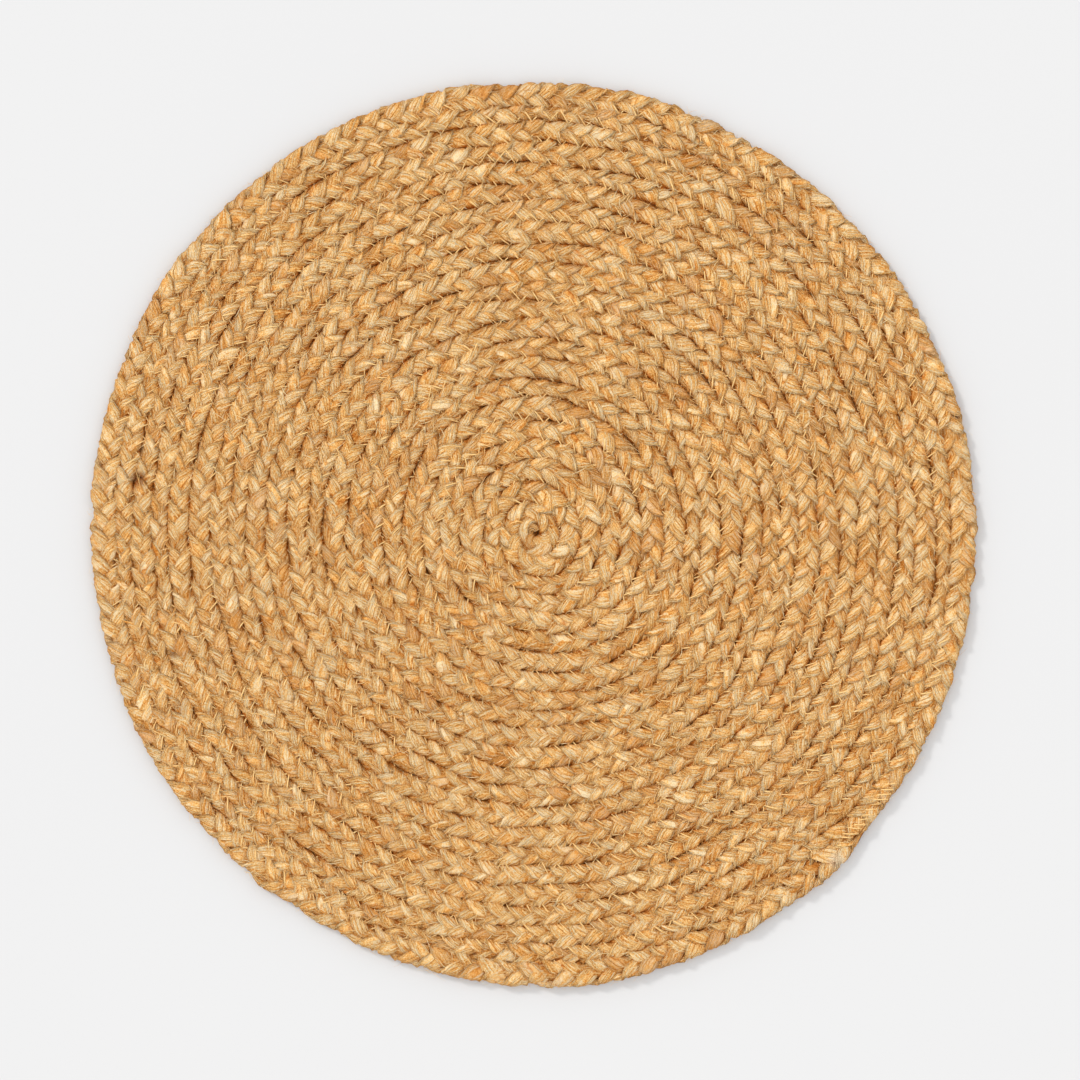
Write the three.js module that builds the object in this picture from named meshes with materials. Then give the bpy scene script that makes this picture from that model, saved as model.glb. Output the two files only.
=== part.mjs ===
// Round placemat of plaited jute, laid flat. Millimetres, +Z up.
// One long flat plait of three strands is coiled outward from the middle, counter-clockwise seen
// from above, and its rows are sewn edge to edge. The coiled plait is one closed solid: each row
// is a rib on both faces, a sewn seam is a groove, and the rim carries the lobes of the plait.
// The origin is the middle of the underside, which lies on Z = 0.

import * as THREE from 'three';

// Driving dimensions
const THICKNESS = 5.5;
const SEAM_DEPTH = 1.2;
const ROW_WIDTH = 8.4;
const ROW_COUNT = 22;
const RIM_RADIUS = 191.8;
// The plait was pulled tighter near the middle: what each row gives back there
const ROW_SLACK = 0.0066;
// Share of a row's width where its two shoulders lie
const INNER_SHOULDER = 0.28;
const OUTER_SHOULDER = 0.72;

// The plait's outer end lies at the lower right and narrows to nothing over a few degrees
const END_ANGLE = 318.5;
const TAIL_SPAN = 5.5;
const LEAST_WIDTH = 0.4;
// Beside the end every row steps outward by this share of a row, further in over a longer angle
const STEP_SHARE = 0.6;
const STEP_SPAN_PER_ROW = 3;
// Rows near the middle have no such step
const STEP_FADE_ROWS = 7;

// The mat isn't truly round: offset and oval, both fading toward the middle
const OFFSET_X = 0.84;
const OFFSET_Y = 0.63;
const OVAL_COS = -1.68;
const OVAL_SIN = -0.87;
const OVAL_FADE_ROWS = 10.8;
const OVAL_LEAST = 0.35;

// Lobes of the plait on the rim
const LOBE_LENGTH = 9.35;
const LOBE_CREST = 0.4;
const LOBE_VALLEY = -0.6;
const POINTS_PER_LOBE = 4;
const SHOULDER_STEP = 7;
const RIM_TOP_SHARE = 0.73;
const RIM_BOTTOM_SHARE = 0.27;

// Stretches where the rim swells out or lies further in: angle, half span and height
const SWELLS = [
  { at: 1, span: 11, height: 1.2 },
  { at: 37, span: 3, height: 1.1 },
  { at: 57, span: 8, height: -1.0 },
  { at: 77, span: 2.5, height: 1.2 },
  { at: 94, span: 3, height: -0.7 },
  { at: 101.5, span: 1.6, height: 1.9 },
  { at: 145, span: 8, height: 0.7 },
  { at: 178, span: 5, height: 1.1 },
  { at: 201, span: 8, height: 0.6 },
  { at: 225, span: 3, height: -1.0 },
  { at: 243, span: 7, height: -1.2 },
  { at: 275, span: 8, height: 1.1 },
  { at: 302, span: 5, height: -1.1 },
];
const SWELL_FADE_ROWS = 1.4;

// How far a straight edge may stray from the true curve, on each face
const TOP_SAGITTA = 0.35;
const UNDERSIDE_SAGITTA = 0.6;
const LEAST_STEP = 2.2;

const FULL_TURN = 2 * Math.PI;
const radians = THREE.MathUtils.degToRad;

function smooth(t) {
  const x = THREE.MathUtils.clamp(t, 0, 1);
  return x * x * (3 - 2 * x);
}

// Turns are counted from the start of the plait in the middle. A whole number of turns lies at
// the end angle, and the seam at turn u is the inner edge of the plait at turn u.
function angleAt(turn) {
  return radians(END_ANGLE) + FULL_TURN * turn;
}

function rowsFromRim(turn) {
  return ROW_COUNT + 1 - turn;
}

function swellAt(angle) {
  let height = 0;
  for (const swell of SWELLS) {
    const away = THREE.MathUtils.radToDeg(angle) - swell.at;
    const nearest = THREE.MathUtils.euclideanModulo(away + 180, 360) - 180;
    height += swell.height * Math.exp(-((nearest / swell.span) ** 2));
  }
  return height;
}

function stepAt(turn) {
  const rows = Math.max(rowsFromRim(turn), 0);
  const past = THREE.MathUtils.euclideanModulo(turn, 1);
  const span = (TAIL_SPAN + STEP_SPAN_PER_ROW * rows) / 360;
  const falling = 1 - past / (1 - span);
  const rising = smooth((past - 1 + span) / span);
  const share = past < 1 - span ? falling : rising;
  return STEP_SHARE * ROW_WIDTH * share * smooth(turn / STEP_FADE_ROWS);
}

function seamRadius(turn) {
  const rows = Math.max(rowsFromRim(turn), 0);
  const angle = angleAt(turn);
  const oval =
    OFFSET_X * Math.cos(angle) +
    OFFSET_Y * Math.sin(angle) +
    OVAL_COS * Math.cos(2 * angle) +
    OVAL_SIN * Math.sin(2 * angle);
  const ovalShare = OVAL_LEAST + (1 - OVAL_LEAST) * Math.exp(-rows / OVAL_FADE_ROWS);
  const spiral = RIM_RADIUS - ROW_WIDTH * rowsFromRim(turn) + ROW_SLACK * rows * rows;
  const swell = swellAt(angle) * Math.exp(-rows / SWELL_FADE_ROWS);
  return spiral + stepAt(turn) + oval * ovalShare * smooth(turn) + swell;
}

// The rim is the seam of the turn that was never wound. Over the tail it falls to the turn inside.
function rimRadius(past) {
  const tail = TAIL_SPAN / 360;
  if (past <= 1 - tail) {
    return seamRadius(ROW_COUNT + past);
  }
  const before = seamRadius(ROW_COUNT + 1 - tail);
  const after = seamRadius(ROW_COUNT);
  return THREE.MathUtils.lerp(before, after, smooth((past - 1 + tail) / tail));
}

// Inner edge and width of the plait at a turn
function rowAt(turn) {
  const past = turn - (ROW_COUNT - 1);
  const to = past > 0 ? rimRadius(past) : seamRadius(turn + 1);
  const width = Math.max(to - seamRadius(turn), LEAST_WIDTH);
  return { from: to - width, width };
}

// Length of the plait from its outer end to a turn, along the middle of the plait
function lengthFromEnd(turn) {
  const rows = ROW_COUNT + 0.5 - turn;
  const run = (x) => RIM_RADIUS * x - (ROW_WIDTH * x * x) / 2 + (ROW_SLACK * x * x * x) / 3;
  return FULL_TURN * (run(rows) - run(0.5));
}

function lobeHeight(lobe) {
  const wave = 0.5 + 0.5 * Math.cos(FULL_TURN * lobe);
  return THREE.MathUtils.lerp(LOBE_VALLEY, LOBE_CREST, Math.sqrt(wave));
}

// Turns at which a line of one face has points, with its own longest step beside the rim
function stationsFor(sagitta, longestByRim) {
  const turns = [];
  let turn = 0;
  while (turn < ROW_COUNT) {
    turns.push(turn);
    const radius = Math.max(seamRadius(turn), ROW_WIDTH / 2);
    const longest = turn < ROW_COUNT - 1 ? Infinity : longestByRim;
    const step = Math.min(Math.max(Math.sqrt(8 * sagitta * radius), LEAST_STEP), longest);
    const next = turn + step / (FULL_TURN * radius);
    // One station lies where the second turn begins, beside the plait's inner end
    turn = turn < 1 ? Math.min(next, 1) : next;
  }
  return turns;
}

// Points of the rim, as shares of a turn past the end: a lobe at each whole number of lobes
function rimShares() {
  const shares = [0];
  const lobes = lengthFromEnd(ROW_COUNT - 1) / LOBE_LENGTH;
  const steps = Math.floor(lobes * POINTS_PER_LOBE);
  for (let step = 1; step < steps; step += 1) {
    shares.push(step / steps);
  }
  return shares;
}

class Shell {
  constructor() {
    this.places = [];
    this.faces = [];
  }

  point(radius, angle, z) {
    this.places.push(radius * Math.cos(angle), radius * Math.sin(angle), z);
    return this.places.length / 3 - 1;
  }

  face(a, b, c, up) {
    if (a === b || b === c || a === c) {
      return;
    }
    if (up) {
      this.faces.push(a, b, c);
    } else {
      this.faces.push(a, c, b);
    }
  }

  // Joins two lines of points that run side by side, each a list of { turn, index }
  band(inner, outer, up) {
    let i = 0;
    let j = 0;
    while (i < inner.length - 1 || j < outer.length - 1) {
      const innerNext = i < inner.length - 1 ? inner[i + 1].turn : Infinity;
      const outerNext = j < outer.length - 1 ? outer[j + 1].turn : Infinity;
      if (innerNext < outerNext) {
        this.face(inner[i].index, outer[j].index, inner[i + 1].index, up);
        i += 1;
      } else {
        this.face(inner[i].index, outer[j].index, outer[j + 1].index, up);
        j += 1;
      }
    }
  }
}

function addRim(shell, shares, z) {
  const loop = [];
  for (const past of shares) {
    const turn = ROW_COUNT - 1 + past;
    const tail = smooth((1 - past) / (TAIL_SPAN / 360)) * smooth(past * 360 / TAIL_SPAN);
    const lobe = lengthFromEnd(turn) / LOBE_LENGTH;
    const radius = rimRadius(past) + lobeHeight(lobe) * tail;
    loop.push({ turn: ROW_COUNT + past, index: shell.point(radius, angleAt(past), z) });
  }
  return loop;
}

// One face of the mat, from the middle to its rim loop
function addFace(shell, rim, sagitta, level, sink, up) {
  const seam = [];
  const inner = [];
  const outer = [];
  for (const turn of stationsFor(sagitta, Infinity)) {
    const row = rowAt(turn);
    // Where the plait narrows its groove gets shallower too
    const depth = sink * Math.min(row.width / ROW_WIDTH, 1);
    seam.push({ turn, index: shell.point(row.from, angleAt(turn), level + depth) });
    const radius = row.from + INNER_SHOULDER * row.width;
    inner.push({ turn, index: shell.point(radius, angleAt(turn), level) });
  }
  for (const turn of stationsFor(sagitta, SHOULDER_STEP)) {
    const row = rowAt(turn);
    const radius = row.from + OUTER_SHOULDER * row.width;
    outer.push({ turn, index: shell.point(radius, angleAt(turn), level) });
  }
  const tip = { turn: ROW_COUNT, index: rim[0].index };
  seam.push(tip);
  inner.push(tip);
  outer.push(tip);
  shell.band(seam, inner, up);
  shell.band(inner, outer, up);

  // From the outer shoulder across the groove to the next turn, and at last to the rim
  const wound = seam.filter((entry) => entry.turn >= 1 && entry.turn < ROW_COUNT);
  const closing = { turn: ROW_COUNT + 1, index: tip.index };
  const beyond = wound.concat(rim, [closing]);
  const beside = beyond.map((entry) => ({ turn: entry.turn - 1, index: entry.index }));
  shell.band(outer, beside, up);

  // The middle, inside the first turn, and the wedge that holds the plait's inner end
  const centre = shell.point(0, 0, level + sink / 2);
  const first = seam.filter((entry) => entry.turn < 1);
  for (let i = 0; i < first.length - 1; i += 1) {
    shell.face(centre, first[i].index, first[i + 1].index, up);
  }
  const last = first[first.length - 1].index;
  const innerEnd = [wound[0], outer[0], inner[0], seam[0]].map((entry) => entry.index);
  innerEnd.push(centre);
  for (let i = 0; i < innerEnd.length - 1; i += 1) {
    shell.face(last, innerEnd[i], innerEnd[i + 1], up);
  }
}

function coiledPlait() {
  const shell = new Shell();
  const shares = rimShares();
  const rimTop = addRim(shell, shares, THICKNESS * RIM_TOP_SHARE);
  const rimBottom = addRim(shell, shares, THICKNESS * RIM_BOTTOM_SHARE);
  addFace(shell, rimTop, TOP_SAGITTA, THICKNESS, -SEAM_DEPTH, true);
  addFace(shell, rimBottom, UNDERSIDE_SAGITTA, 0, SEAM_DEPTH, false);
  for (let i = 0; i < rimTop.length; i += 1) {
    const next = (i + 1) % rimTop.length;
    shell.face(rimTop[i].index, rimBottom[i].index, rimBottom[next].index, true);
    shell.face(rimTop[i].index, rimBottom[next].index, rimTop[next].index, true);
  }
  const geometry = new THREE.BufferGeometry();
  geometry.setAttribute('position', new THREE.Float32BufferAttribute(shell.places, 3));
  geometry.setIndex(shell.faces);
  geometry.computeBoundingBox();
  const middle = geometry.boundingBox.getCenter(new THREE.Vector3());
  geometry.translate(-middle.x, -middle.y, 0);
  geometry.computeVertexNormals();
  return geometry;
}

const jute = new THREE.MeshStandardMaterial({ color: 0xd9ac6b, roughness: 0.92, metalness: 0 });

const mat = new THREE.Mesh(coiledPlait(), jute);
mat.name = 'coiled_plait';

const placemat = new THREE.Group();
placemat.add(mat);

export default placemat;
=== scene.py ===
import math
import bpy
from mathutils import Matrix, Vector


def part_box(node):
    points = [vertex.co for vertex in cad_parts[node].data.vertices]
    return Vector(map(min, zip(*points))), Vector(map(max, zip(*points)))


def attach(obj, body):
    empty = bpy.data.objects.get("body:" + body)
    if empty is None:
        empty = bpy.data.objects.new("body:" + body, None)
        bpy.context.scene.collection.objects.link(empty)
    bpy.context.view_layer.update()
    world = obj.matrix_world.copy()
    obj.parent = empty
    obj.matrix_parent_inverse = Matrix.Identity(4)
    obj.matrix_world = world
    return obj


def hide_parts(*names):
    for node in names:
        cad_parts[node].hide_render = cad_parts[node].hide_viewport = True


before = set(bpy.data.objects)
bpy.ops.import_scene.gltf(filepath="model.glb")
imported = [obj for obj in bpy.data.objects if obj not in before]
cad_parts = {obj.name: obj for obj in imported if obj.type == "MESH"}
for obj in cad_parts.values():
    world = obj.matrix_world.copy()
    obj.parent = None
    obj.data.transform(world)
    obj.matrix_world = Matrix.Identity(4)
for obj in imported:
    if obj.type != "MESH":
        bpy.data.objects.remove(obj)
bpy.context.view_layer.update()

from types import SimpleNamespace

import bpy
import numpy as np
from mathutils import Vector
from mathutils.bvhtree import BVHTree

# A round placemat of plaited jute, lying flat. Three strands are plaited into one long flat
# plait, which is coiled outward from the middle and sewn edge to edge with a zigzag thread.
# Lengths are in metres.

NODE = "coiled_plait"
BODY = "root"
MM = 0.001
FULL_TURN = 2 * math.pi
UP = np.array([0.0, 0.0, 1.0])
# No normal random amount is more than this many spreads from its mean
SPREAD_LIMIT = 2

# The coil, as in the part
THICKNESS = 5.5 * MM
ROW_WIDTH = 8.4 * MM
ROW_COUNT = 22
RIM_RADIUS = 191.8 * MM
# The plait was pulled tighter near the middle: what each row gives back there
ROW_SLACK = 0.0066 * MM
# The plait's outer end, and the degrees over which it narrows to nothing
END_ANGLE = 318.5
TAIL_SPAN = 5.5
LEAST_WIDTH = 0.4 * MM
# Beside the end every row steps outward by this share of a row, further in over a longer angle.
# Rows near the middle have no such step
STEP_SHARE = 0.6
STEP_SPAN_PER_ROW = 3
STEP_FADE_ROWS = 7
# The mat isn't truly round: offset and oval, both fading toward the middle
OFFSET_X = 0.84 * MM
OFFSET_Y = 0.63 * MM
OVAL_COS = -1.68 * MM
OVAL_SIN = -0.87 * MM
OVAL_FADE_ROWS = 10.8
OVAL_LEAST = 0.35
# Lobes of the plait on the rim
LOBE_LENGTH = 9.35 * MM
LOBE_CREST = 0.4 * MM
LOBE_VALLEY = -0.6 * MM
# Stretches where the rim swells out or lies further in: angle, half span in degrees, height in mm
SWELLS = [
    (1, 11, 1.2),
    (37, 3, 1.1),
    (57, 8, -1.0),
    (77, 2.5, 1.2),
    (94, 3, -0.7),
    (101.5, 1.6, 1.9),
    (145, 8, 0.7),
    (178, 5, 1.1),
    (201, 8, 0.6),
    (225, 3, -1.0),
    (243, 7, -1.2),
    (275, 8, 1.1),
    (302, 5, -1.1),
]
SWELL_FADE_ROWS = 1.4
OUTLINE_POINTS = 4000
TABLE_POINTS = 60001

# The sewn rows aren't quite even: how far a seam wanders, how often along the plait, and the
# turns over which that starts at the middle and ends at the rim
WANDER = 0.65 * MM
WANDER_STEP = 2 * MM
WANDER_REACH = 6
WANDER_SEED = 7
WANDER_FIRST_TURNS = 2
WANDER_LAST_TURNS = 0.02
# The outermost row isn't pressed from outside, so it's a little wider, from this many turns
# before the end on
OUTER_ROW_EXTRA = 0.8 * MM
OUTER_ROW_TURNS = 1.05
OUTER_ROW_EASE = 0.1

# The plait: how far a strand swings across its row and rises and falls. The nearer to 1 the
# turn's sharpness is, the more evenly it slants across and the sooner it turns at the edge
STRANDS = 3
STRAND_SEED = 100
PERIOD = STRANDS * LOBE_LENGTH
SWING = 3.25 * MM
TURN_SHARPNESS = 0.98
RISE = 0.97 * MM
# A power below 1 keeps a strand near its highest and lowest level, or flat, for longer
RISE_POWER = 0.7
ROLL_POWER = 0.5
FACE_FLATNESS = 0.54
HALF_WIDTH = 3.1 * MM
HALF_THICKNESS = 1.5 * MM
# A strand is narrow at its row's middle and edges, plump between them, and thicker at the edges
NARROW = 0.86
PLUMP = 0.2
PLUMP_POWER = 1.3
THICKER = 0.16
THICKER_POWER = 6
# Each fibre bundle in it stands out or back a little
RIDGE = 0.2 * MM
RIDGE_REACH = 3
# A row's own width scales the swing within these limits, and thins the strands to this share
LEAST_SCALE = 0.12
MOST_SCALE = 1.12
NARROW_ROW_SIZE = 0.25
# A strand's two ends are closed over this length, down to this share of its size
END_LENGTH = 4 * MM
END_SIZE = 0.05
# The outermost row takes these values, from this many turns before the end on, over one turn
RIM_TURNS = 1.5
RIM_TURN_SHARPNESS = 0.93
RIM_HALF_WIDTH = 3.45 * MM
RIM_SWING = 1.2
RIM_SHIFT = -1.0 * MM
RIM_FREEDOM = 0.6 * MM

FIRST_TURN = -0.95
STATIONS = 9950
ROUGH_STATIONS = 4 * STATIONS
AROUND = 10
AROUND_ANGLES = np.arange(AROUND) / AROUND * FULL_TURN

# How far a strand may reach past its row's seams, more or less in step with the lobes
OVERLAP = 1.3 * MM
BULGE = 0.85 * MM
SEAM_EASE = 0.7 * MM
# The two faces are pressed flat this far inside the thickness. On the upper face a lobe's own
# lift raises that limit, or lowers it by this at most
FACE_GAP = 0.04 * MM
FACE_EASE = 0.5 * MM
LEAST_PROUD = -0.3 * MM
# A point this far from both faces is at the bottom of a hollow, where the jute's colour gets the
# most painted shade. On the rim's open side, which starts this far outside the row's middle line,
# hollows count for less and get less painted shade
HOLLOW_DEPTH = 1.8 * MM
OPEN_SIDE_START = 1.0 * MM
OPEN_SIDE_SPAN = 2.0 * MM
OPEN_SIDE_LIGHT = 0.75

# How much each lobe of the plait differs from the next
LOBE_SPREAD = {
    "wide": 0.15,
    "thick": 0.13,
    "lift": 0.23 * MM,
    "sway": 0.5 * MM,
    "slide": 0.85 * MM,
    "spin": 0.28,
    "overlap": 0.4 * MM,
}
# The share of a lobe's length after which its values change to the next one's, and over which
LOBE_CHANGE = 0.52
LOBE_CHANGE_SPAN = 0.46
SPARE_LOBES = 4

# The fibres follow coordinates along a strand, half the way around it, and a number of its own
HALF_ROUND = 6.4 * MM
FIRST_STRAND = 0.37
NEXT_STRAND = 3.0

# The core that fills the plait. It ends this many turns before the plait does
CORE_STATIONS = 4200
CORE_AROUND = 6
CORE_FIRST_TURN = -0.8
CORE_END_GAP = 0.03
CORE_MIDDLE_OVERLAP = 1.6 * MM
CORE_MIDDLE_TURN = 0.5
CORE_HALF_THICKNESS = 1.85 * MM
CORE_OVERLAP = 0.2 * MM
CORE_RIM_GAP = 2.0 * MM
CORE_HALF_ROUND = 9 * MM
CORE_NUMBER = 20.0
CORE_TONE = 0.5
# The core's colour gets this much painted shade, as if it lay deep in a hollow
CORE_PAINTED_SHADE = 0.7

# The map of a mesh: strips that a long tube is laid in, the gap beside each strip and around
# each small tube's cell, and the place of the end faces
LONG_TUBE_STRIPS = 32
STRIP_GAP = 0.04
CELL_GAP = 0.05
END_FACE_PLACE = 0.999

# How far from the mat's middle level a ray starts that looks for the plait's surface, and what
# counts as the surface where it meets nothing
RAY_START = 2 * THICKNESS
MISSED_LEVEL = 0.1 * THICKNESS

# Sewing thread
THREAD_RADIUS = 0.35 * MM
THREAD_UNEVEN = 0.12
THREAD_UNEVEN_REACH = 3
THREAD_LEAST_HEIGHT = 1.05 * THREAD_RADIUS
THREAD_TONE = 0.55
THREAD_SIDES = 3
THREAD_TABLE_POINTS = 40001
# The seams' thread lies a little outside the seam itself
STITCH_OFFSET = 1.2 * MM
# How uneven the corners of the zigzag are, along it and across it
STITCH_UNEVEN = 0.22
STITCH_REACH_SPREAD = 0.2
STITCH_REACH_LIMITS = (-0.5, 0.4)
# How high the thread lies on the plait, how far it dips at a corner, how much it rises and falls
# along it and from leg to leg, and how much deeper every other leg lies
STITCH_LIFT = 0.05 * MM
STITCH_DIP = 0.6 * MM
STITCH_DIP_POWER = 3
STITCH_SLACK = 0.05 * MM
STITCH_SLACK_REACH = 12
STITCH_LEG_SPREAD = 0.25 * MM
STITCH_LEG_REACH = 6
STITCH_TUCK = 0.7 * MM

# Loose fibres on the faces, spread evenly over these turns of the mat, apart from its very middle
FIBRE_POINTS = 3
FIBRE_FIRST_TURN = 1
FIBRE_TURNS = ROW_COUNT - 1.02
FIBRE_LEAST_SHARE = 0.0016
# This share of them lies near a seam, within this share of a row
FIBRE_BY_SEAM = 0.45
FIBRE_SEAM_SPREAD = 0.13
# Slant and its spread, and bend, in degrees
FIBRE_SLANT = (35, 28)
FIBRE_BEND = 32
# Shape and scale of a random length and of a random arch
FIBRE_LENGTH = (4.0, 1.0 * MM)
FIBRE_LENGTH_LIMITS = (1.5 * MM, 8 * MM)
FIBRE_ARCH = (1.8, 0.17 * MM)
FIBRE_LIFT = 0.06 * MM
FIBRE_DIP = 0.12 * MM
FIBRE_LEAST_HEIGHT = 0.15 * MM
FIBRE_RADII = (0.09 * MM, 0.19 * MM)
FIBRE_TIP_THINNER = 0.6
FIBRE_RIM_GAP = 3 * MM

# Loose fibres that stand out past the rim
FUZZ_POINTS = 4
FUZZ_ROOT = 0.8 * MM
FUZZ_LENGTH = (2.0, 0.55 * MM)
FUZZ_LENGTH_LIMITS = (0.6 * MM, 3.5 * MM)
FUZZ_LENGTH_EXTRA = 0.4 * MM
FUZZ_LEAN = 1.3
FUZZ_CURL = 1.6
FUZZ_LEVELS = (0.25, 0.8)
FUZZ_DROOP = 0.6 * MM
FUZZ_LEAST_HEIGHT = 0.2 * MM
FUZZ_RADII = (0.04 * MM, 0.08 * MM)
FUZZ_TIP_THINNER = 0.7

# Spots with their own colour: angle, radius and reach in mm, and how dark (or pale, below 0)
MARKS = [
    (172.2, 169.3, 3.6, 1.1),
    (198.6, 161.4, 2.2, 0.8),
    (206.3, 168.2, 3.4, 0.45),
    (210.6, 166.7, 3.0, 0.35),
    (312.8, 189.7, 3.6, -1.0),
]
MARK_EDGE_POWER = 4


def smooth(t):
    x = np.clip(t, 0.0, 1.0)
    return x * x * (3 - 2 * x)


def mix(a, b, share):
    return a + (b - a) * share


def signed_power(value, power):
    return np.sign(value) * np.abs(value) ** power


def unit(v):
    return v / np.maximum(np.linalg.norm(v, axis=-1, keepdims=True), 1e-12)


def soft_limit(value, limit, ease):
    """The value itself well under the limit, which it only nears over the last stretch."""
    over = np.maximum(value - (limit - ease), 0)
    return np.where(over > 0, limit - ease * np.exp(-over / ease), value)


def wandering(rng, count, lines, reach):
    """Random values that change slowly along each line, over reach steps, with a spread of 1."""
    margin = 4 * reach
    raw = rng.normal(0, 1, (count + 2 * margin, lines))
    window = np.hanning(margin + 1)
    window /= np.sqrt((window ** 2).sum())
    out = np.stack([np.convolve(raw[:, i], window, "same") for i in range(lines)], 1)
    return out[margin : margin + count].clip(-SPREAD_LIMIT, SPREAD_LIMIT)


# The coil's formulas, as in the part


def angle_at(turn):
    return math.radians(END_ANGLE) + FULL_TURN * np.asarray(turn, float)


def swell_at(angle):
    degrees = np.degrees(angle)
    height = np.zeros_like(degrees)
    for at, span, size in SWELLS:
        nearest = (degrees - at + 180) % 360 - 180
        height += size * MM * np.exp(-((nearest / span) ** 2))
    return height


def step_at(turn):
    rows = np.maximum(ROW_COUNT + 1 - turn, 0)
    past = turn % 1
    span = (TAIL_SPAN + STEP_SPAN_PER_ROW * rows) / 360
    falling = 1 - past / (1 - span)
    rising = smooth((past - 1 + span) / span)
    share = np.where(past < 1 - span, falling, rising)
    return STEP_SHARE * ROW_WIDTH * share * smooth(turn / STEP_FADE_ROWS)


def length_from_end(turn):
    """Length of the plait from its outer end inward to each turn."""

    def run(x):
        return RIM_RADIUS * x - ROW_WIDTH * x * x / 2 + ROW_SLACK * x * x * x / 3

    return FULL_TURN * (run(ROW_COUNT + 0.5 - turn) - run(0.5))


def wander_table():
    count = int(length_from_end(0) / WANDER_STEP) + 2
    return wandering(np.random.default_rng(WANDER_SEED), count, 1, WANDER_REACH)[:, 0]


WANDER_TABLE = wander_table()


def seam_wander(turn):
    """How far a seam lies off its even place: not at all at the rim, which is the part's own."""
    at = length_from_end(np.clip(turn, 0, ROW_COUNT)) / WANDER_STEP
    share = smooth((ROW_COUNT - turn) / WANDER_LAST_TURNS) * smooth(turn / WANDER_FIRST_TURNS)
    outer_row = smooth((turn - ROW_COUNT + OUTER_ROW_TURNS) / OUTER_ROW_EASE)
    wander = WANDER * np.interp(at, np.arange(len(WANDER_TABLE)), WANDER_TABLE)
    return (wander - OUTER_ROW_EXTRA * outer_row) * share


def seam_radius(turn):
    """Radius of the seam on the inner side of each turn."""
    turn = np.asarray(turn, float)
    rows = np.maximum(ROW_COUNT + 1 - turn, 0)
    angle = angle_at(turn)
    oval = (
        OFFSET_X * np.cos(angle)
        + OFFSET_Y * np.sin(angle)
        + OVAL_COS * np.cos(2 * angle)
        + OVAL_SIN * np.sin(2 * angle)
    )
    oval_share = mix(OVAL_LEAST, 1, np.exp(-rows / OVAL_FADE_ROWS))
    spiral = RIM_RADIUS - ROW_WIDTH * (ROW_COUNT + 1 - turn) + ROW_SLACK * rows * rows
    swell = swell_at(angle) * np.exp(-rows / SWELL_FADE_ROWS)
    return spiral + step_at(turn) + oval * oval_share * smooth(turn) + swell + seam_wander(turn)


def rim_radius(past):
    """Radius of the outermost row's outer side, for the share of the last turn that is past."""
    past = np.asarray(past, float)
    tail = TAIL_SPAN / 360
    before = seam_radius(ROW_COUNT + 1 - tail)
    after = seam_radius(ROW_COUNT)
    share = smooth((past - 1 + tail) / tail)
    return np.where(past <= 1 - tail, seam_radius(ROW_COUNT + past), mix(before, after, share))


def row_at(turn):
    """Inner edge and width of the plait at each turn. Its first turn starts at the very middle."""
    past = turn - (ROW_COUNT - 1)
    to = np.where(past > 0, rim_radius(np.maximum(past, 0)), seam_radius(turn + 1))
    inner = np.maximum(seam_radius(turn), 0)
    width = np.maximum(to - inner, LEAST_WIDTH)
    return to - width, width


def lobe_height(lobe):
    wave = 0.5 + 0.5 * np.cos(FULL_TURN * lobe)
    return mix(LOBE_VALLEY, LOBE_CREST, np.sqrt(wave))


def tail_share(past):
    """1 along the rim and 0 at the plait's end, where it's tucked in and has no lobes."""
    span = TAIL_SPAN / 360
    return smooth((1 - past) / span) * smooth(past / span)


def rim_share(turn):
    """0 inside the mat and 1 in its outermost row."""
    return smooth(turn - ROW_COUNT + RIM_TURNS)


def coil_shift():
    """The part's outline is centred on its box, so the coil's own middle lies a little off."""
    past = np.linspace(0, 1, OUTLINE_POINTS)
    radius = rim_radius(past) + LOBE_CREST
    x = radius * np.cos(angle_at(past))
    y = radius * np.sin(angle_at(past))
    low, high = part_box(NODE)
    return (
        (low[0] + high[0]) / 2 - (x.min() + x.max()) / 2,
        (low[1] + high[1]) / 2 - (y.min() + y.max()) / 2,
    )


SHIFT = coil_shift()


def place(radius, angle, z):
    """Points of the mat from the coil's radius and angle, and a height."""
    x = radius * np.cos(angle) + SHIFT[0]
    y = radius * np.sin(angle) + SHIFT[1]
    return np.stack([x, y, z * np.ones_like(radius)], -1)


def length_table():
    """Turns from the very middle outward, and the length of the plait from its outer end to each."""
    turns = np.linspace(FIRST_TURN, ROW_COUNT, TABLE_POINTS)
    inner, width = row_at(turns)
    middle = np.maximum(inner + width / 2, 0)
    steps = FULL_TURN * (middle[1:] + middle[:-1]) / 2 * np.diff(turns)
    measured = np.concatenate([np.cumsum(steps[::-1])[::-1], [0]])
    at_zero = np.interp(0, turns, measured)
    inside = length_from_end(0) + measured - at_zero
    return turns, np.where(turns < 0, inside, length_from_end(np.maximum(turns, 0)))


TURNS, LENGTHS = length_table()


# Meshes from arrays


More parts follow.
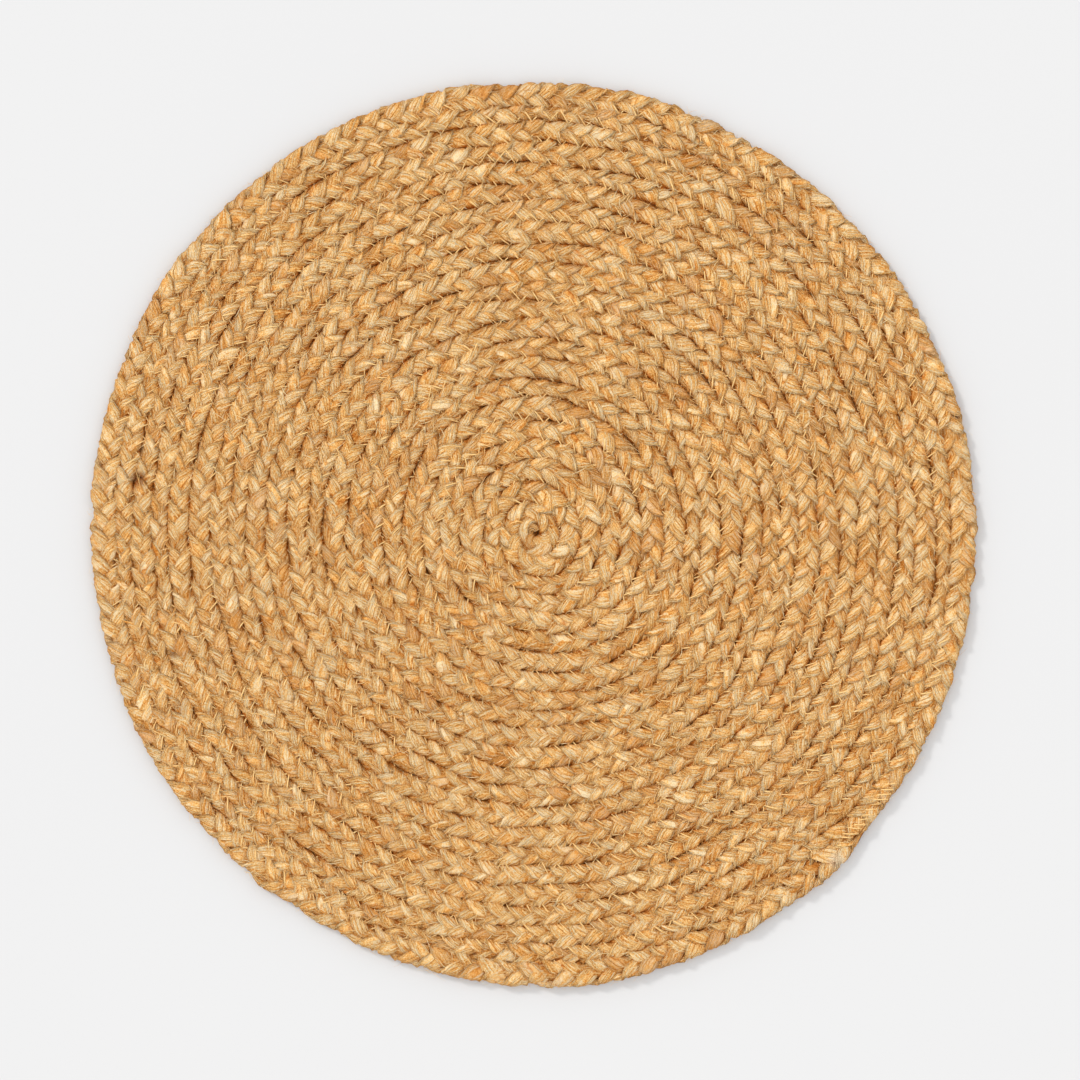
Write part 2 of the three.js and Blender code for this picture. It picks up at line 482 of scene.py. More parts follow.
def new_mesh(name, points, quads, uv, attributes):
    """A piece from its points and four-sided faces. uv has a row for each corner of each face."""
    mesh = bpy.data.meshes.new(name)
    mesh.vertices.add(len(points))
    mesh.vertices.foreach_set("co", np.ascontiguousarray(points, np.float32).ravel())
    mesh.loops.add(quads.size)
    mesh.loops.foreach_set("vertex_index", np.ascontiguousarray(quads, np.int32).ravel())
    mesh.polygons.add(len(quads))
    mesh.polygons.foreach_set("loop_start", np.arange(len(quads), dtype=np.int32) * 4)
    mesh.polygons.foreach_set("loop_total", np.full(len(quads), 4, np.int32))
    mesh.update(calc_edges=True)
    mesh.polygons.foreach_set("use_smooth", np.ones(len(quads), bool))
    layer = mesh.uv_layers.new(name="OFBake")
    layer.data.foreach_set("uv", np.ascontiguousarray(uv, np.float32).ravel())
    for key, values in attributes.items():
        kind, field = ("FLOAT", "value") if values.ndim == 1 else ("FLOAT_VECTOR", "vector")
        layer = mesh.attributes.new(key, kind, "POINT")
        layer.data.foreach_set(field, np.ascontiguousarray(values, np.float32).ravel())
    piece = bpy.data.objects.new(name, mesh)
    bpy.context.scene.collection.objects.link(piece)
    return piece


def tube_faces(stations, around):
    """The faces of one tube's wall."""
    i = np.arange(stations - 1)[:, None]
    j = np.arange(around)[None, :]
    k = (j + 1) % around
    a = i * around + j
    b = i * around + k
    return np.stack([a, b, b + around, a + around], -1).reshape(-1, 4)


def end_faces(stations, around):
    """The faces that close the two ends of a tube with an even number of points around."""
    i = np.arange(around // 2 - 1)
    first = np.stack([i, around - 1 - i, around - 2 - i, i + 1], -1)
    last = first[:, ::-1] + (stations - 1) * around
    return np.concatenate([first, last])


def strip_uv(stations, around, strips):
    """A map that lays one long tube in parallel strips, which fill the square."""
    per = -(-(stations - 1) // strips)
    i = np.arange(stations - 1)[:, None] * np.ones((1, around), int)
    j = np.arange(around)[None, :] * np.ones((stations - 1, 1), int)
    strip = i // per
    low_u = (i - strip * per) / per
    wide = (1 - 2 * STRIP_GAP) / around

    def corner(du, dv):
        u = low_u + du / per
        v = (strip + STRIP_GAP + (j + dv) * wide) / strips
        return np.stack([u, v], -1)

    return np.stack([corner(0, 0), corner(0, 1), corner(1, 1), corner(1, 0)], -2).reshape(-1, 2)


def jute_tube(name, points, run, **values):
    """A closed tube from its rings of points, with what the jute's material reads at each point."""
    stations, around = points.shape[:2]
    ones = np.ones((stations, around))
    caps = end_faces(stations, around)
    attributes = {"run": np.stack([part * ones for part in run], -1).reshape(-1, 3)}
    attributes.update({key: (value * ones).ravel() for key, value in values.items()})
    return new_mesh(
        name,
        points.reshape(-1, 3),
        np.concatenate([tube_faces(stations, around), caps]),
        np.concatenate([
            strip_uv(stations, around, LONG_TUBE_STRIPS),
            np.full((caps.size, 2), END_FACE_PLACE),
        ]),
        attributes,
    )


# The strands


def each_lobe(values, share):
    """Each lobe's own value, changing to the next one's where the strand is on the underside."""
    index = np.floor(share).astype(int)
    local = share - index
    index = np.clip(index, 0, len(values) - 2)
    blend = smooth((local - LOBE_CHANGE) / LOBE_CHANGE_SPAN)
    return values[index] * (1 - blend) + values[index + 1] * blend


def strand_line(phase, last_phase, lobes_before, traits):
    """Where a strand runs. At a phase of pi / 2 it is at its row's outer edge."""
    share = phase / math.pi + 0.5 - lobes_before
    own = {key: each_lobe(values, share) for key, values in traits.items()}
    along = np.clip((last_phase - phase) * PERIOD / FULL_TURN + own["slide"], 0, LENGTHS[0])
    turn = np.interp(-along, -LENGTHS, TURNS)
    inner, width = row_at(turn)
    scale = np.clip(width / ROW_WIDTH, LEAST_SCALE, MOST_SCALE)
    rim = rim_share(turn)
    sharpness = mix(TURN_SHARPNESS, RIM_TURN_SHARPNESS, rim)
    swing = SWING * np.arcsin(sharpness * np.sin(phase)) / np.arcsin(sharpness)
    swing = swing * mix(1, RIM_SWING, rim) + RIM_SHIFT * rim
    across = (swing + own["sway"]) * scale
    wave = -np.sin(2 * phase)
    height = THICKNESS / 2 + RISE * signed_power(wave, RISE_POWER) + own["lift"] * np.sign(wave)
    middle = place(inner + width / 2 + across, angle_at(turn), height)
    return SimpleNamespace(
        phase=phase, own=own, along=along, turn=turn, inner=inner, width=width, scale=scale,
        rim=rim, middle=middle,
    )


def strand_section(line, run, rng):
    """Rings of points around a strand, whose flat section rolls over at the row's edges."""
    forward = unit(np.gradient(line.middle, axis=0))
    side = unit(np.cross(UP, forward))
    lifted = unit(np.cross(forward, side))
    roll = (math.pi / 2) * signed_power(np.cos(line.phase), ROLL_POWER)
    thin = np.cos(roll)[:, None] * side + np.sin(roll)[:, None] * lifted
    broad = unit(np.cross(forward, thin))

    ends = np.minimum(smooth(run / END_LENGTH), smooth((run[-1] - run) / END_LENGTH))
    size = mix(NARROW_ROW_SIZE, 1, np.minimum(line.scale, 1.0)) * mix(END_SIZE, 1, ends)
    plump = np.abs(np.sin(2 * line.phase)) ** PLUMP_POWER
    half_width = mix(HALF_WIDTH, RIM_HALF_WIDTH, line.rim) * (NARROW + PLUMP * plump)
    half_width = half_width * (1 + line.own["wide"]) * size
    half_thickness = HALF_THICKNESS * (1 + THICKER * np.sin(line.phase) ** THICKER_POWER) * size
    half_thickness = half_thickness * (1 + line.own["thick"])
    ridges = wandering(rng, STATIONS, AROUND, RIDGE_REACH) * RIDGE * size[:, None]
    c = np.cos(AROUND_ANGLES)[None, :]
    s = signed_power(np.sin(AROUND_ANGLES), FACE_FLATNESS)[None, :]
    return (
        line.middle[:, None, :]
        + broad[:, None, :] * ((half_width[:, None] + ridges) * c)[..., None]
        + thin[:, None, :] * ((half_thickness[:, None] + ridges) * s)[..., None]
    )


def pressed(points, line):
    """A strand's points between their neighbours and faces, and how deep each lies in a hollow, which
    sets the shade painted on it.
    """
    # Neighbouring rows press against each other, and the outermost one ends at the rim
    angle = angle_at(line.turn)
    radial = np.stack([np.cos(angle), np.sin(angle)], -1)[:, None, :]
    tangent = np.stack([-np.sin(angle), np.cos(angle)], -1)[:, None, :]
    flat = points[..., :2]
    away = ((flat - np.array(SHIFT)) * radial).sum(-1) - (line.inner + line.width / 2)[:, None]
    ahead = ((flat - line.middle[:, None, :2]) * tangent).sum(-1)
    past = (line.turn - (ROW_COUNT - 1))[:, None]
    lobe = (line.along[:, None] - ahead) / LOBE_LENGTH
    half_row = line.width[:, None] / 2
    overlap = OVERLAP + line.own["overlap"][:, None]
    bulge = BULGE * np.cos(FULL_TURN * lobe)
    rim = lobe_height(lobe) * tail_share(np.clip(past, 0, 1)) + RIM_FREEDOM
    outward = soft_limit(away, half_row + np.where(past > 0, rim, overlap + bulge), SEAM_EASE)
    inward = soft_limit(-away, half_row + overlap - bulge, SEAM_EASE)
    held = np.where(away > 0, outward, -inward)
    flat = flat + radial * (held - away)[..., None]

    # The faces are pressed flat, the underside rests on the surface, and some lobes stand a
    # little proud of the upper face
    half = THICKNESS / 2
    level = points[..., 2] - half
    proud = np.maximum(line.own["lift"], LEAST_PROUD)[:, None] * (level > 0)
    level = np.sign(level) * soft_limit(np.abs(level), half - FACE_GAP + proud, FACE_EASE)

    # How deep a point lies sets the shade painted into the jute's colour; less is painted on the rim's
    # open side
    hollow = np.clip((half - np.abs(level)) / HOLLOW_DEPTH, 0, 1)
    open_side = smooth((held - OPEN_SIDE_START) / OPEN_SIDE_SPAN) * (past > 0)
    hollow = hollow * (1 - OPEN_SIDE_LIGHT * open_side)
    return np.concatenate([flat, (half + level)[..., None]], -1), hollow


def marks_at(points):
    """How dark or pale the spots of MARKS make each point."""
    total = np.zeros(points.shape[:2])
    for at, radius, reach, amount in MARKS:
        spot = place(np.array(radius * MM), np.radians(at), 0.0)
        distance = np.hypot(points[..., 0] - spot[0], points[..., 1] - spot[1])
        total += amount * np.exp(-((distance / (reach * MM)) ** MARK_EDGE_POWER))
    return total


def strand(number):
    """One of the three strands, from the middle of the mat to the plait's outer end."""
    rng = np.random.default_rng(STRAND_SEED + number)
    last_phase = math.pi / 2 + FULL_TURN * number / STRANDS
    first_phase = last_phase - FULL_TURN * LENGTHS[0] / PERIOD
    lobes_before = math.floor(first_phase / math.pi) - 1
    lobes = int((last_phase - first_phase) / math.pi) + SPARE_LOBES
    traits = {
        key: rng.normal(0, 1, lobes).clip(-SPREAD_LIMIT, SPREAD_LIMIT) * size
        for key, size in LOBE_SPREAD.items()
    }
    traits["tone"] = rng.uniform(0, 1, lobes)
    traits["warm"] = rng.uniform(0, 1, lobes)

    # The stations lie at even steps along the strand's own length
    phase = np.linspace(first_phase, last_phase, ROUGH_STATIONS)
    rough = strand_line(phase, last_phase, lobes_before, traits)
    steps = np.linalg.norm(np.diff(rough.middle, axis=0), axis=1)
    path = np.concatenate([[0], np.cumsum(steps)])
    run = np.linspace(0, path[-1], STATIONS)
    line = strand_line(np.interp(run, path, phase), last_phase, lobes_before, traits)
    points, hollow = pressed(strand_section(line, run, rng), line)

    # The coordinate around the strand is folded, so that it has no seam, and spins a little
    spun = AROUND_ANGLES[None, :] / math.pi + 0.5 + line.own["spin"][:, None]
    fold = np.abs(spun % 2 - 1)
    return jute_tube(
        "strand_%d" % (number + 1),
        points,
        (run[:, None], fold * HALF_ROUND, number * NEXT_STRAND + FIRST_STRAND),
        tone=line.own["tone"][:, None],
        warm=line.own["warm"][:, None],
        hollow=hollow,
        mark=marks_at(points),
    )


def core():
    """What fills the plait between its strands: it closes the hollows where they cross. Its colour is
    darkened with painted shade.
    """
    turns = np.linspace(CORE_FIRST_TURN, ROW_COUNT - CORE_END_GAP, CORE_STATIONS)
    inner, width = row_at(turns)
    width = width - CORE_RIM_GAP * rim_share(turns)
    # At the very middle it reaches a little past the centre, so that no hole stays open there
    past_centre = CORE_MIDDLE_OVERLAP * smooth(CORE_MIDDLE_TURN - turns)
    around = np.arange(CORE_AROUND) / CORE_AROUND * FULL_TURN
    across = np.cos(around)[None, :] * (width / 2 + CORE_OVERLAP + past_centre / 2)[:, None]
    radius = (inner + width / 2 - past_centre / 2)[:, None] + across
    height = THICKNESS / 2 + np.sin(around)[None, :] * CORE_HALF_THICKNESS
    run = np.concatenate([[0], np.cumsum(FULL_TURN * inner[1:] * np.diff(turns))])
    fold = np.abs(around / math.pi - 1)
    return jute_tube(
        "plait_core",
        place(radius, angle_at(turns)[:, None], height),
        (run[:, None], fold[None, :] * CORE_HALF_ROUND, CORE_NUMBER),
        tone=CORE_TONE,
        warm=0.0,
        hollow=CORE_PAINTED_SHADE,
        mark=0.0,
    )


# Thread and loose fibres


def tubes(name, lines, radii, tones, strips=1):
    """Many thin tubes in one mesh. lines is (tube, point, xyz) and radii (tube, point)."""
    count, length, _ = lines.shape
    forward = unit(np.gradient(lines, axis=1))
    side = unit(np.cross(UP, forward))
    lifted = unit(np.cross(forward, side))
    turn = np.arange(THREAD_SIDES) / THREAD_SIDES * FULL_TURN + math.pi / 2
    c = np.cos(turn)[None, None, :, None]
    s = np.sin(turn)[None, None, :, None]
    ring = side[:, :, None, :] * c + lifted[:, :, None, :] * s
    points = lines[:, :, None, :] + ring * radii[:, :, None, None]
    first_point = (np.arange(count) * length * THREAD_SIDES)[:, None, None]
    quads = (tube_faces(length, THREAD_SIDES)[None] + first_point).reshape(-1, 4)
    # Each tube has its own cell of the map
    cells = math.ceil(math.sqrt(count))
    cell = np.stack([np.arange(count) % cells, np.arange(count) // cells], -1)[:, None, :]
    in_cell = strip_uv(length, THREAD_SIDES, strips)[None] * (1 - 2 * CELL_GAP) + CELL_GAP
    uv = ((in_cell + cell) / cells).reshape(-1, 2)
    tone = (tones[:, None, None] * np.ones((count, length, THREAD_SIDES))).ravel()
    return new_mesh(name, points.reshape(-1, 3), quads, uv, {"tone": tone})


def surface_of(pieces):
    """A function that gives the height of the plait's upper or lower surface at any point."""
    points = []
    faces = []
    offset = 0
    for piece in pieces:
        mesh = piece.data
        co = np.empty(len(mesh.vertices) * 3, np.float32)
        mesh.vertices.foreach_get("co", co)
        index = np.empty(len(mesh.loops), np.int32)
        mesh.loops.foreach_get("vertex_index", index)
        points.append(co.reshape(-1, 3))
        faces.append(index.reshape(-1, 4) + offset)
        offset += len(mesh.vertices)
    tree = BVHTree.FromPolygons(np.concatenate(points).tolist(), np.concatenate(faces).tolist())

    def height(x, y, sign):
        """sign is 1 for the upper surface and -1 for the lower one."""
        start = THICKNESS / 2 + sign * RAY_START
        toward = Vector((0, 0, -sign))
        out = np.full(x.size, THICKNESS / 2 + sign * MISSED_LEVEL)
        for i, (px, py) in enumerate(zip(x.ravel(), y.ravel())):
            hit = tree.ray_cast(Vector((px, py, start)), toward)[0]
            if hit is not None:
                out[i] = hit.z
        return out.reshape(x.shape)

    return height


def stitches(name, height, sewn, sign, seed, steps):
    """A zigzag thread along a sewn line, on the upper face (sign 1) or the lower one (-1)."""
    rng = np.random.default_rng(seed)
    turns = np.linspace(*sewn.turns, THREAD_TABLE_POINTS)
    radius = sewn.radius_at(turns)
    pieces = FULL_TURN * (radius[1:] + radius[:-1]) / 2 * np.diff(turns)
    run = np.concatenate([[0], np.cumsum(pieces)])
    count = int(run[-1] / (sewn.pitch / 2))
    corners = np.arange(count)
    at = corners + rng.uniform(-STITCH_UNEVEN, STITCH_UNEVEN, count) + sewn.lean * (corners % 2)
    at = at * sewn.pitch / 2
    spread = rng.normal(0, STITCH_REACH_SPREAD, count).clip(*STITCH_REACH_LIMITS)
    reach = sewn.reach * (1 + spread) * np.where(corners % 2 == 0, 1.0, -1.0)
    share = np.arange((count - 1) * steps + 1) / steps
    turn = np.interp(np.interp(share, corners, at), run, turns)
    off = np.interp(share, corners, reach)
    flat = place(np.interp(turn, turns, radius) + off, angle_at(turn), 0.0)
    z = sign * height(flat[:, 0], flat[:, 1], sign)
    # The taut thread bridges small hollows, and goes down into the plait at each corner
    padded = np.pad(z, 1, mode="edge")
    bridge = np.maximum(z, (padded[:-2] + padded[2:]) / 2)
    slack = STITCH_SLACK * wandering(rng, len(z), 1, STITCH_SLACK_REACH)[:, 0]
    dip = STITCH_DIP * np.abs(2 * (share % 1) - 1) ** STITCH_DIP_POWER
    legs = rng.uniform(*sewn.leg_heights, count + 1)
    legs += STITCH_LEG_SPREAD * wandering(rng, count + 1, 1, STITCH_LEG_REACH)[:, 0]
    legs[1::2] -= STITCH_TUCK
    leg = np.interp(share + 0.5, np.arange(count + 1), legs)
    flat[:, 2] = np.maximum(sign * (bridge + STITCH_LIFT + leg + slack - dip), THREAD_LEAST_HEIGHT)
    uneven = wandering(rng, len(z), 1, THREAD_UNEVEN_REACH)[:, 0]
    radii = THREAD_RADIUS * (1 + THREAD_UNEVEN * uneven)
    return tubes(name, flat[None], radii[None], np.array([THREAD_TONE]), strips=sewn.strips)


def stray_fibres(name, height, sign, seed, count):
    """Short loose fibres that lie on the plait, many of them at its seams."""
    rng = np.random.default_rng(seed)
    turn = FIBRE_FIRST_TURN + FIBRE_TURNS * rng.uniform(FIBRE_LEAST_SHARE, 1.0, count) ** 0.5
    by_seam = rng.uniform(0, 1, count) < FIBRE_BY_SEAM
    share = np.where(by_seam, rng.normal(0, FIBRE_SEAM_SPREAD, count), rng.uniform(0, 1, count))
    inner, width = row_at(turn)
    angle = angle_at(turn)
    slant = np.where(share % 1 > 0.5, 1, -1) * np.radians(rng.normal(*FIBRE_SLANT, count))
    heading = angle + math.pi / 2 + slant
    length = rng.gamma(*FIBRE_LENGTH, count).clip(*FIBRE_LENGTH_LIMITS)
    bend = np.radians(rng.normal(0, FIBRE_BEND, count))
    step = np.linspace(-0.5, 0.5, FIBRE_POINTS)[None]
    direction = heading[:, None] + bend[:, None] * step
    dx = np.cos(direction) * length[:, None] / (FIBRE_POINTS - 1)
    dy = np.sin(direction) * length[:, None] / (FIBRE_POINTS - 1)
    start = place(inner + width * share, angle, 0.0)
    x = start[:, 0, None] + np.cumsum(dx, 1) - dx.sum(1, keepdims=True) / 2
    y = start[:, 1, None] + np.cumsum(dy, 1) - dy.sum(1, keepdims=True) / 2
    # None reaches past the rim
    inside = np.minimum(1, (RIM_RADIUS - FIBRE_RIM_GAP) / np.hypot(x, y))
    x *= inside
    y *= inside
    z = sign * height(x, y, sign)
    z[:, 1:-1] = np.maximum(z[:, 1:-1], (z[:, :-2] + z[:, 2:]) / 2)
    # The ends dip into the plait and the middle arches over it
    arch = 1 - (2 * step) ** 2
    lift = rng.gamma(*FIBRE_ARCH, count)[:, None] * arch + FIBRE_LIFT - FIBRE_DIP * (1 - arch)
    z = np.maximum(sign * (z + lift), FIBRE_LEAST_HEIGHT)
    radii = rng.uniform(*FIBRE_RADII, count)[:, None] * (1 - FIBRE_TIP_THINNER * (2 * step) ** 4)
    return tubes(name, np.stack([x, y, z], -1), radii, rng.uniform(0, 1, count))


def rim_fuzz(name, seed, count):
    """Loose fibres that stand out past the rim."""
    rng = np.random.default_rng(seed)
    past = rng.uniform(0, 1, count)
    radius = rim_radius(past) - FUZZ_ROOT
    out = rng.gamma(*FUZZ_LENGTH, count).clip(*FUZZ_LENGTH_LIMITS) + FUZZ_LENGTH_EXTRA
    lean = rng.normal(0, FUZZ_LEAN, count)
    step = np.linspace(0, 1, FUZZ_POINTS)[None]
    away = radius[:, None] + out[:, None] * step
    swing = angle_at(past)[:, None] + (lean * out / radius)[:, None] * step ** FUZZ_CURL
    level = THICKNESS * rng.uniform(*FUZZ_LEVELS, count)[:, None]
    z = np.maximum(level + rng.normal(0, FUZZ_DROOP, count)[:, None] * step, FUZZ_LEAST_HEIGHT)
    radii = rng.uniform(*FUZZ_RADII, count)[:, None] * (1 - FUZZ_TIP_THINNER * step)
    return tubes(name, place(away, swing, z), radii, rng.uniform(0, 1, count))


# Materials


def node_tree(name):
    material = bpy.data.materials.new(name)
    material.use_nodes = True
    tree = material.node_tree
    tree.nodes.clear()
    out = tree.nodes.new("ShaderNodeOutputMaterial")
    shader = tree.nodes.new("ShaderNodeBsdfPrincipled")
    tree.links.new(shader.outputs[0], out.inputs[0])
    return material, tree, shader


def add(tree, kind, inputs=None, **settings):
    node = tree.nodes.new(kind)
    for key, value in settings.items():
        setattr(node, key, value)
    for key, value in (inputs or {}).items():
        if isinstance(value, bpy.types.NodeSocket):
            tree.links.new(value, node.inputs[key])
        else:
            node.inputs[key].default_value = value
    return node


def attribute(tree, name, output="Fac"):
    return add(tree, "ShaderNodeAttribute", attribute_name=name).outputs[output]


def maths(tree, operation, a, b=0.0):
    return add(tree, "ShaderNodeMath", {0: a, 1: b}, operation=operation).outputs[0]


def weighted(tree, terms, start=0.0):
    """The sum of each output times its weight."""
    total = start
    for output, weight in terms:
        total = maths(tree, "ADD", maths(tree, "MULTIPLY", output, weight), total)
    return total


def ramp(tree, factor, stops):
    node = add(tree, "ShaderNodeValToRGB", {0: factor})
    elements = node.color_ramp.elements
    while len(elements) < len(stops):
        elements.new(0.5)
    for element, (position, colour) in zip(elements, stops):
        element.position = position
        element.color = (*colour, 1)
    return node.outputs[0]


def blended(tree, factor, under, over, blend="MIX"):
    """One colour over another, which is an output. The upper one is a plain colour or an output."""
    if not isinstance(over, bpy.types.NodeSocket):
        over = (*over, 1)
    inputs = {0: factor, 6: under, 7: over}
    return add(tree, "ShaderNodeMix", inputs, data_type="RGBA", blend_type=blend).outputs[2]


def linear(r, g, b):
    """A screen colour as the renderer's own."""

    def one(v):
        v = v / 255
        return v / 12.92 if v <= 0.04045 else ((v + 0.055) / 1.055) ** 2.4

    return one(r), one(g), one(b)


def noise(tree, vector, factors, detail=2.0, roughness=0.55):
    """Smooth noise with its own scale along each of the three coordinates, in waves a metre."""
    times = add(tree, "ShaderNodeVectorMath", {0: vector, 1: factors}, operation="MULTIPLY").outputs[0]
    settings = {"Vector": times, "Scale": 1.0, "Detail": detail, "Roughness": roughness}
    return add(tree, "ShaderNodeTexNoise", settings).outputs["Fac"]


def random_value(tree, x, y, z):
    seed = add(tree, "ShaderNodeCombineXYZ", {0: x, 1: y, 2: z}).outputs[0]
    return add(tree, "ShaderNodeTexWhiteNoise", {"Vector": seed}, noise_dimensions="3D").outputs["Value"]


def finish_shader(tree, shader, colour, rough, gloss_tint, height, strength, distance):
    """Colour, roughness, a faint warm gloss and the bump of jute, plaited or as thread."""
    tree.links.new(colour, shader.inputs["Base Color"])
    tree.links.new(rough, shader.inputs["Roughness"])
    shader.inputs["Specular IOR Level"].default_value = 0.03
    shader.inputs["Specular Tint"].default_value = (*gloss_tint, 1)
    bump = add(tree, "ShaderNodeBump", {"Height": height, "Strength": strength, "Distance": distance})
    tree.links.new(bump.outputs[0], shader.inputs["Normal"])


def ribbons(tree, run, width, wobble, length):
    """Flat fibres side by side along a strand: each one's own random value, and its rounded top."""
    parts = add(tree, "ShaderNodeSeparateXYZ", {0: run})
    bend = noise(tree, run, (90.0, 300.0, 5.0))
    lanes = weighted(tree, [(parts.outputs[1], 1 / width), (bend, wobble)])
    lane = maths(tree, "FLOOR", lanes)
    inside = maths(tree, "FRACT", lanes)
    # Each fibre starts at a random place, and has a new value after every length
    offset = random_value(tree, lane, parts.outputs[2], 0.5)
    stretch = weighted(tree, [(parts.outputs[0], 1 / length), (offset, 9.0)])
    value = random_value(tree, lane, parts.outputs[2], maths(tree, "FLOOR", stretch))
    # The product is a quarter at most, so 4 times that makes the top 1
    other_side = maths(tree, "SUBTRACT", 1.0, inside)
    top = maths(tree, "MULTIPLY", maths(tree, "MULTIPLY", inside, other_side), 4.0)
    return value, top


def jute_material():
    material, tree, shader = node_tree("plaited_jute")
    run = attribute(tree, "run", "Vector")
    tone = attribute(tree, "tone")
    warm = attribute(tree, "warm")
    hollow = attribute(tree, "hollow")
    mark = attribute(tree, "mark")
    wide_value, wide_top = ribbons(tree, run, width=0.85 * MM, wobble=4.0, length=8 * MM)
    fine_value, fine_top = ribbons(tree, run, width=0.44 * MM, wobble=4.5, length=4 * MM)
    hairs = noise(tree, run, (220.0, 2500.0, 7.0), detail=3.0, roughness=0.7)
    where = add(tree, "ShaderNodeTexCoord").outputs["Object"]
    grain = noise(tree, where, (1500.0, 1500.0, 1500.0), detail=2.0, roughness=0.6)
    blotches = noise(tree, run, (130.0, 260.0, 3.0))

    # Painted shade: how deep in a hollow a point lies, and how steep the surface is there, where it
    # mostly faces away from the light
    hollow_shade = maths(tree, "POWER", hollow, 3.0)
    normal = add(tree, "ShaderNodeNewGeometry").outputs["Normal"]
    level = maths(tree, "ABSOLUTE", add(tree, "ShaderNodeSeparateXYZ", {0: normal}).outputs[2])
    steep_side_shade = maths(tree, "SUBTRACT", 1.0, level)

    # Each lobe's own tone, then each fibre's. The fibres' rounded tops are painted lighter than the
    # grooves between them, and the hollows darker: painted light and shade
    shade = weighted(
        tree,
        [
            (tone, 0.15),
            (wide_value, 0.17),
            (fine_value, 0.56),
            (blotches, 0.30),
            (hairs, 1.1),
            (grain, 1.4),
            (wide_top, 0.20),
            (fine_top, 0.20),
            (hollow_shade, -0.30),
        ],
        -1.445,
    )
    colour = ramp(
        tree,
        shade,
        [
            (0.04, linear(206, 125, 48)),
            (0.28, linear(234, 158, 74)),
            (0.52, linear(250, 191, 112)),
            (0.76, linear(255, 213, 148)),
            (1.00, linear(255, 229, 184)),
        ],
    )
    # A few lobes are orange. The gaps between fibres, the hollows and the steep sides are painted darker
    # and browner: painted shade
    orange = maths(tree, "MULTIPLY", maths(tree, "POWER", warm, 8.0), 0.5)
    colour = blended(tree, orange, colour, linear(212, 132, 54))
    # Painted shade: the gaps between fibres are darker
    fibre_gap_shade = maths(tree, "MULTIPLY", wide_top, maths(tree, "POWER", fine_top, 0.5))
    dark = ramp(tree, fibre_gap_shade, [(0.0, linear(180, 96, 34)), (0.24, (1.0, 1.0, 1.0))])
    colour = blended(tree, 0.4, colour, dark, "MULTIPLY")
    # Painted shade: darker and more orange-brown deep in the hollows
    colour = blended(tree, maths(tree, "MULTIPLY", hollow_shade, 0.85), colour, (0.58, 0.32, 0.11), "MULTIPLY")
    # Painted shade: darker on the steep sides, which mostly face away from the light
    colour = blended(tree, maths(tree, "MULTIPLY", steep_side_shade, 0.6), colour, (0.72, 0.47, 0.24), "MULTIPLY")
    # The single spots
    dark_mark = maths(tree, "MAXIMUM", maths(tree, "MULTIPLY", mark, 0.8), 0.0)
    pale_mark = maths(tree, "MAXIMUM", maths(tree, "MULTIPLY", mark, -0.6), 0.0)
    colour = blended(tree, dark_mark, colour, linear(140, 84, 40), "MULTIPLY")
    colour = blended(tree, pale_mark, colour, linear(255, 232, 198))

    rough = weighted(tree, [(fine_value, 0.14), (hairs, 0.2)], 0.58)
    height = weighted(tree, [(wide_top, 0.7), (fine_top, 0.6), (hairs, 2.8), (grain, 2.6)])
    finish_shader(
        tree, shader, colour, rough, gloss_tint=(1.0, 0.74, 0.42),
        height=height, strength=1.0, distance=0.43 * MM,
    )
    return material


def thread_material():
    material, tree, shader = node_tree("jute_fibre")
    where = add(tree, "ShaderNodeTexCoord").outputs["Object"]
    grain = noise(tree, where, (900.0, 900.0, 900.0))
    shade = weighted(tree, [(attribute(tree, "tone"), 0.7), (grain, 0.5)], 0.05)
    colour = ramp(
        tree,
        shade,
        [
            (0.05, linear(190, 112, 44)),
            (0.35, linear(238, 172, 92)),
            (0.75, linear(255, 220, 154)),
            (1.0, linear(255, 238, 192)),
        ],
    )
    rough = weighted(tree, [(grain, 0.3)], 0.5)
    finish_shader(
        tree, shader, colour, rough, gloss_tint=(1.0, 0.8, 0.5),
        height=grain, strength=0.6, distance=0.1 * MM,
    )
    return material


# Floor, light and camera


def pale_floor():
    bpy.ops.mesh.primitive_plane_add(size=6.0, location=(0, 0, 0))
    floor = bpy.context.object
    floor.name = "floor"
    material, tree, shader = node_tree("pale_floor")
    where = add(tree, "ShaderNodeTexCoord").outputs["Object"]
    grain = noise(tree, where, (2.0, 2.0, 2.0), detail=3.0)
    colour = ramp(tree, grain, [(0.3, (0.679, 0.679, 0.683)), (0.7, (0.687, 0.687, 0.689))])
    tree.links.new(colour, shader.inputs["Base Color"])
    rough = weighted(tree, [(grain, 0.1)], 0.85)
    tree.links.new(rough, shader.inputs["Roughness"])
    shader.inputs["Specular IOR Level"].default_value = 0.1
    floor.data.materials.append(material)


def soft_light():
    """Even light from all around, and a broad soft key light from the upper left."""
    world = bpy.data.worlds.new("studio")
    world.use_nodes = True
    background = world.node_tree.nodes["Background"]
    background.inputs["Color"].default_value = (1.0, 1.0, 1.0, 1)
    background.inputs["Strength"].default_value = 1.085
    bpy.context.scene.world = world

    lamp = bpy.data.lights.new("key", "SUN")
    lamp.energy = 1.13
    lamp.angle = math.radians(10)
    lamp.color = (1.0, 0.99, 0.97)
    key = bpy.data.objects.new("key", lamp)
    key.location = (-1.25, 1.1, 1.21)
    key.rotation_euler = (-key.location).to_track_quat("-Z", "Y").to_euler()
    bpy.context.scene.collection.objects.link(key)


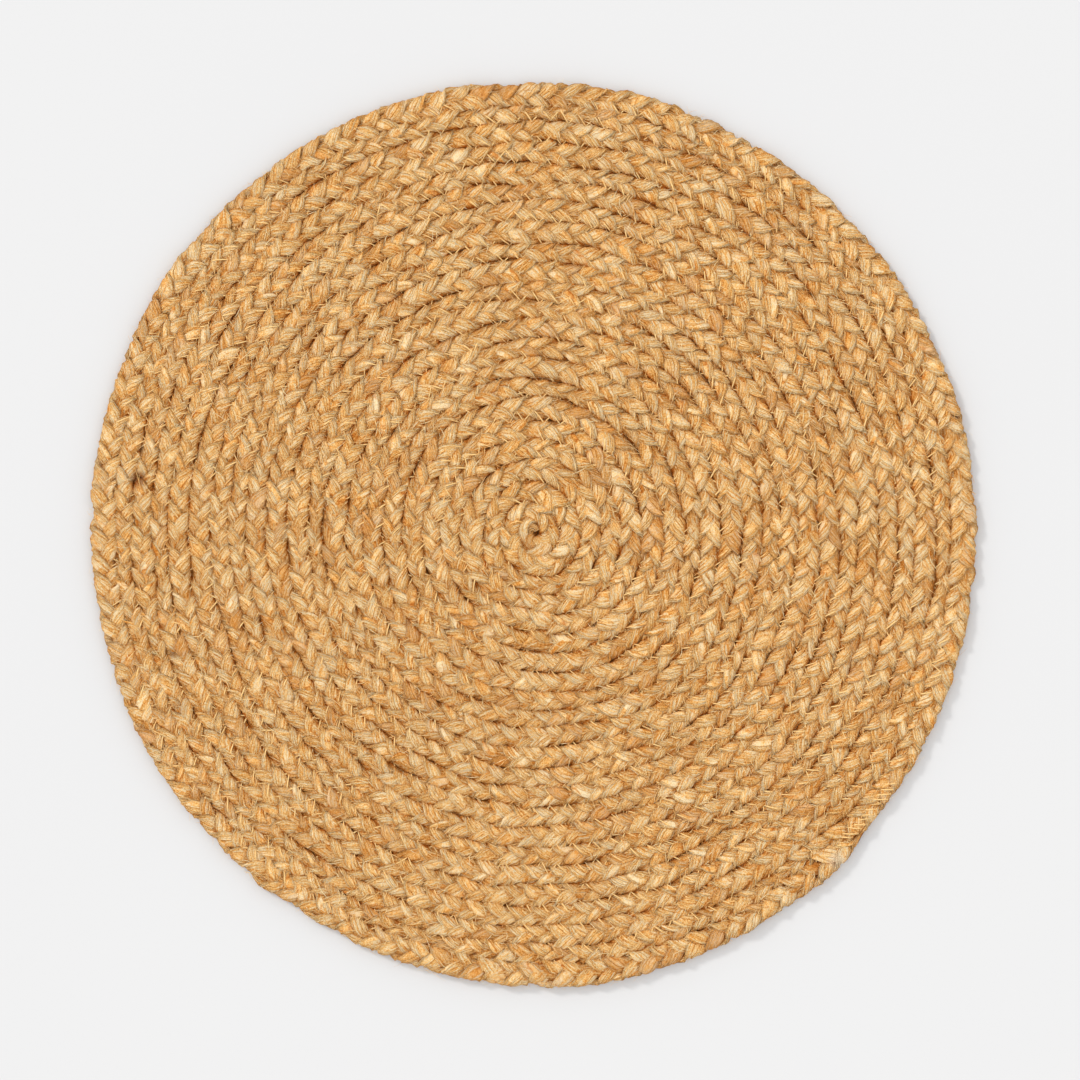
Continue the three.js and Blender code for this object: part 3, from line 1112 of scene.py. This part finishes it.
def camera():
    # The photo's frame is this wide on the mat's upper face, seen straight from above, and its
    # middle lies this far from the mat's
    frame_width = 458.6 * MM
    off_x = 2.8 * MM
    off_y = -2.3 * MM
    lens, sensor = 100.0, 36.0
    low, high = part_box(NODE)
    data = bpy.data.cameras.new("camera")
    data.lens = lens
    data.sensor_width = sensor
    view = bpy.data.objects.new("camera", data)
    view.location = (
        (low[0] + high[0]) / 2 + off_x,
        (low[1] + high[1]) / 2 + off_y,
        high[2] + frame_width * lens / sensor,
    )
    view.rotation_euler = (0, 0, 0)
    bpy.context.scene.collection.objects.link(view)
    bpy.context.scene.camera = view
    bpy.context.scene.view_settings.view_transform = "Standard"


# The whole mat

# Where the thread is sewn: along every seam, and over the plait's outer end. pitch is a whole
# zigzag, reach half its width, lean moves every other corner, in halves of the pitch, and
# leg_heights are the limits of how high its legs lie
SEAMS = SimpleNamespace(
    turns=(1.0, ROW_COUNT - 0.004),
    radius_at=lambda turns: seam_radius(turns) + STITCH_OFFSET,
    pitch=7.8 * MM,
    reach=2.2 * MM,
    lean=0.0,
    leg_heights=(-0.5 * MM, 0.3 * MM),
    strips=64,
)
TAIL = SimpleNamespace(
    turns=(ROW_COUNT - 0.013, ROW_COUNT + 0.021),
    radius_at=lambda turns: np.full_like(turns, 185.3 * MM),
    pitch=2.7 * MM,
    reach=2.4 * MM,
    lean=-2.2,
    leg_heights=(0.0, 0.3 * MM),
    strips=4,
)

camera()
pale_floor()
soft_light()
strands = [strand(number) for number in range(STRANDS)] + [core()]
height = surface_of(strands)
sewing = [
    stitches("stitches_top", height, SEAMS, sign=1, seed=11, steps=4),
    stitches("stitches_underside", height, SEAMS, sign=-1, seed=12, steps=3),
    stitches("tail_stitches_top", height, TAIL, sign=1, seed=13, steps=6),
    stitches("tail_stitches_underside", height, TAIL, sign=-1, seed=14, steps=6),
]
loose = [
    stray_fibres("loose_fibres_top", height, sign=1, seed=21, count=10500),
    stray_fibres("loose_fibres_underside", height, sign=-1, seed=22, count=2000),
    rim_fuzz("rim_fuzz", seed=23, count=500),
]
jute = jute_material()
fibre = thread_material()
for piece in strands:
    piece.data.materials.append(jute)
for piece in sewing + loose:
    piece.data.materials.append(fibre)
for piece in strands + sewing + loose:
    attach(piece, BODY)
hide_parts(NODE)
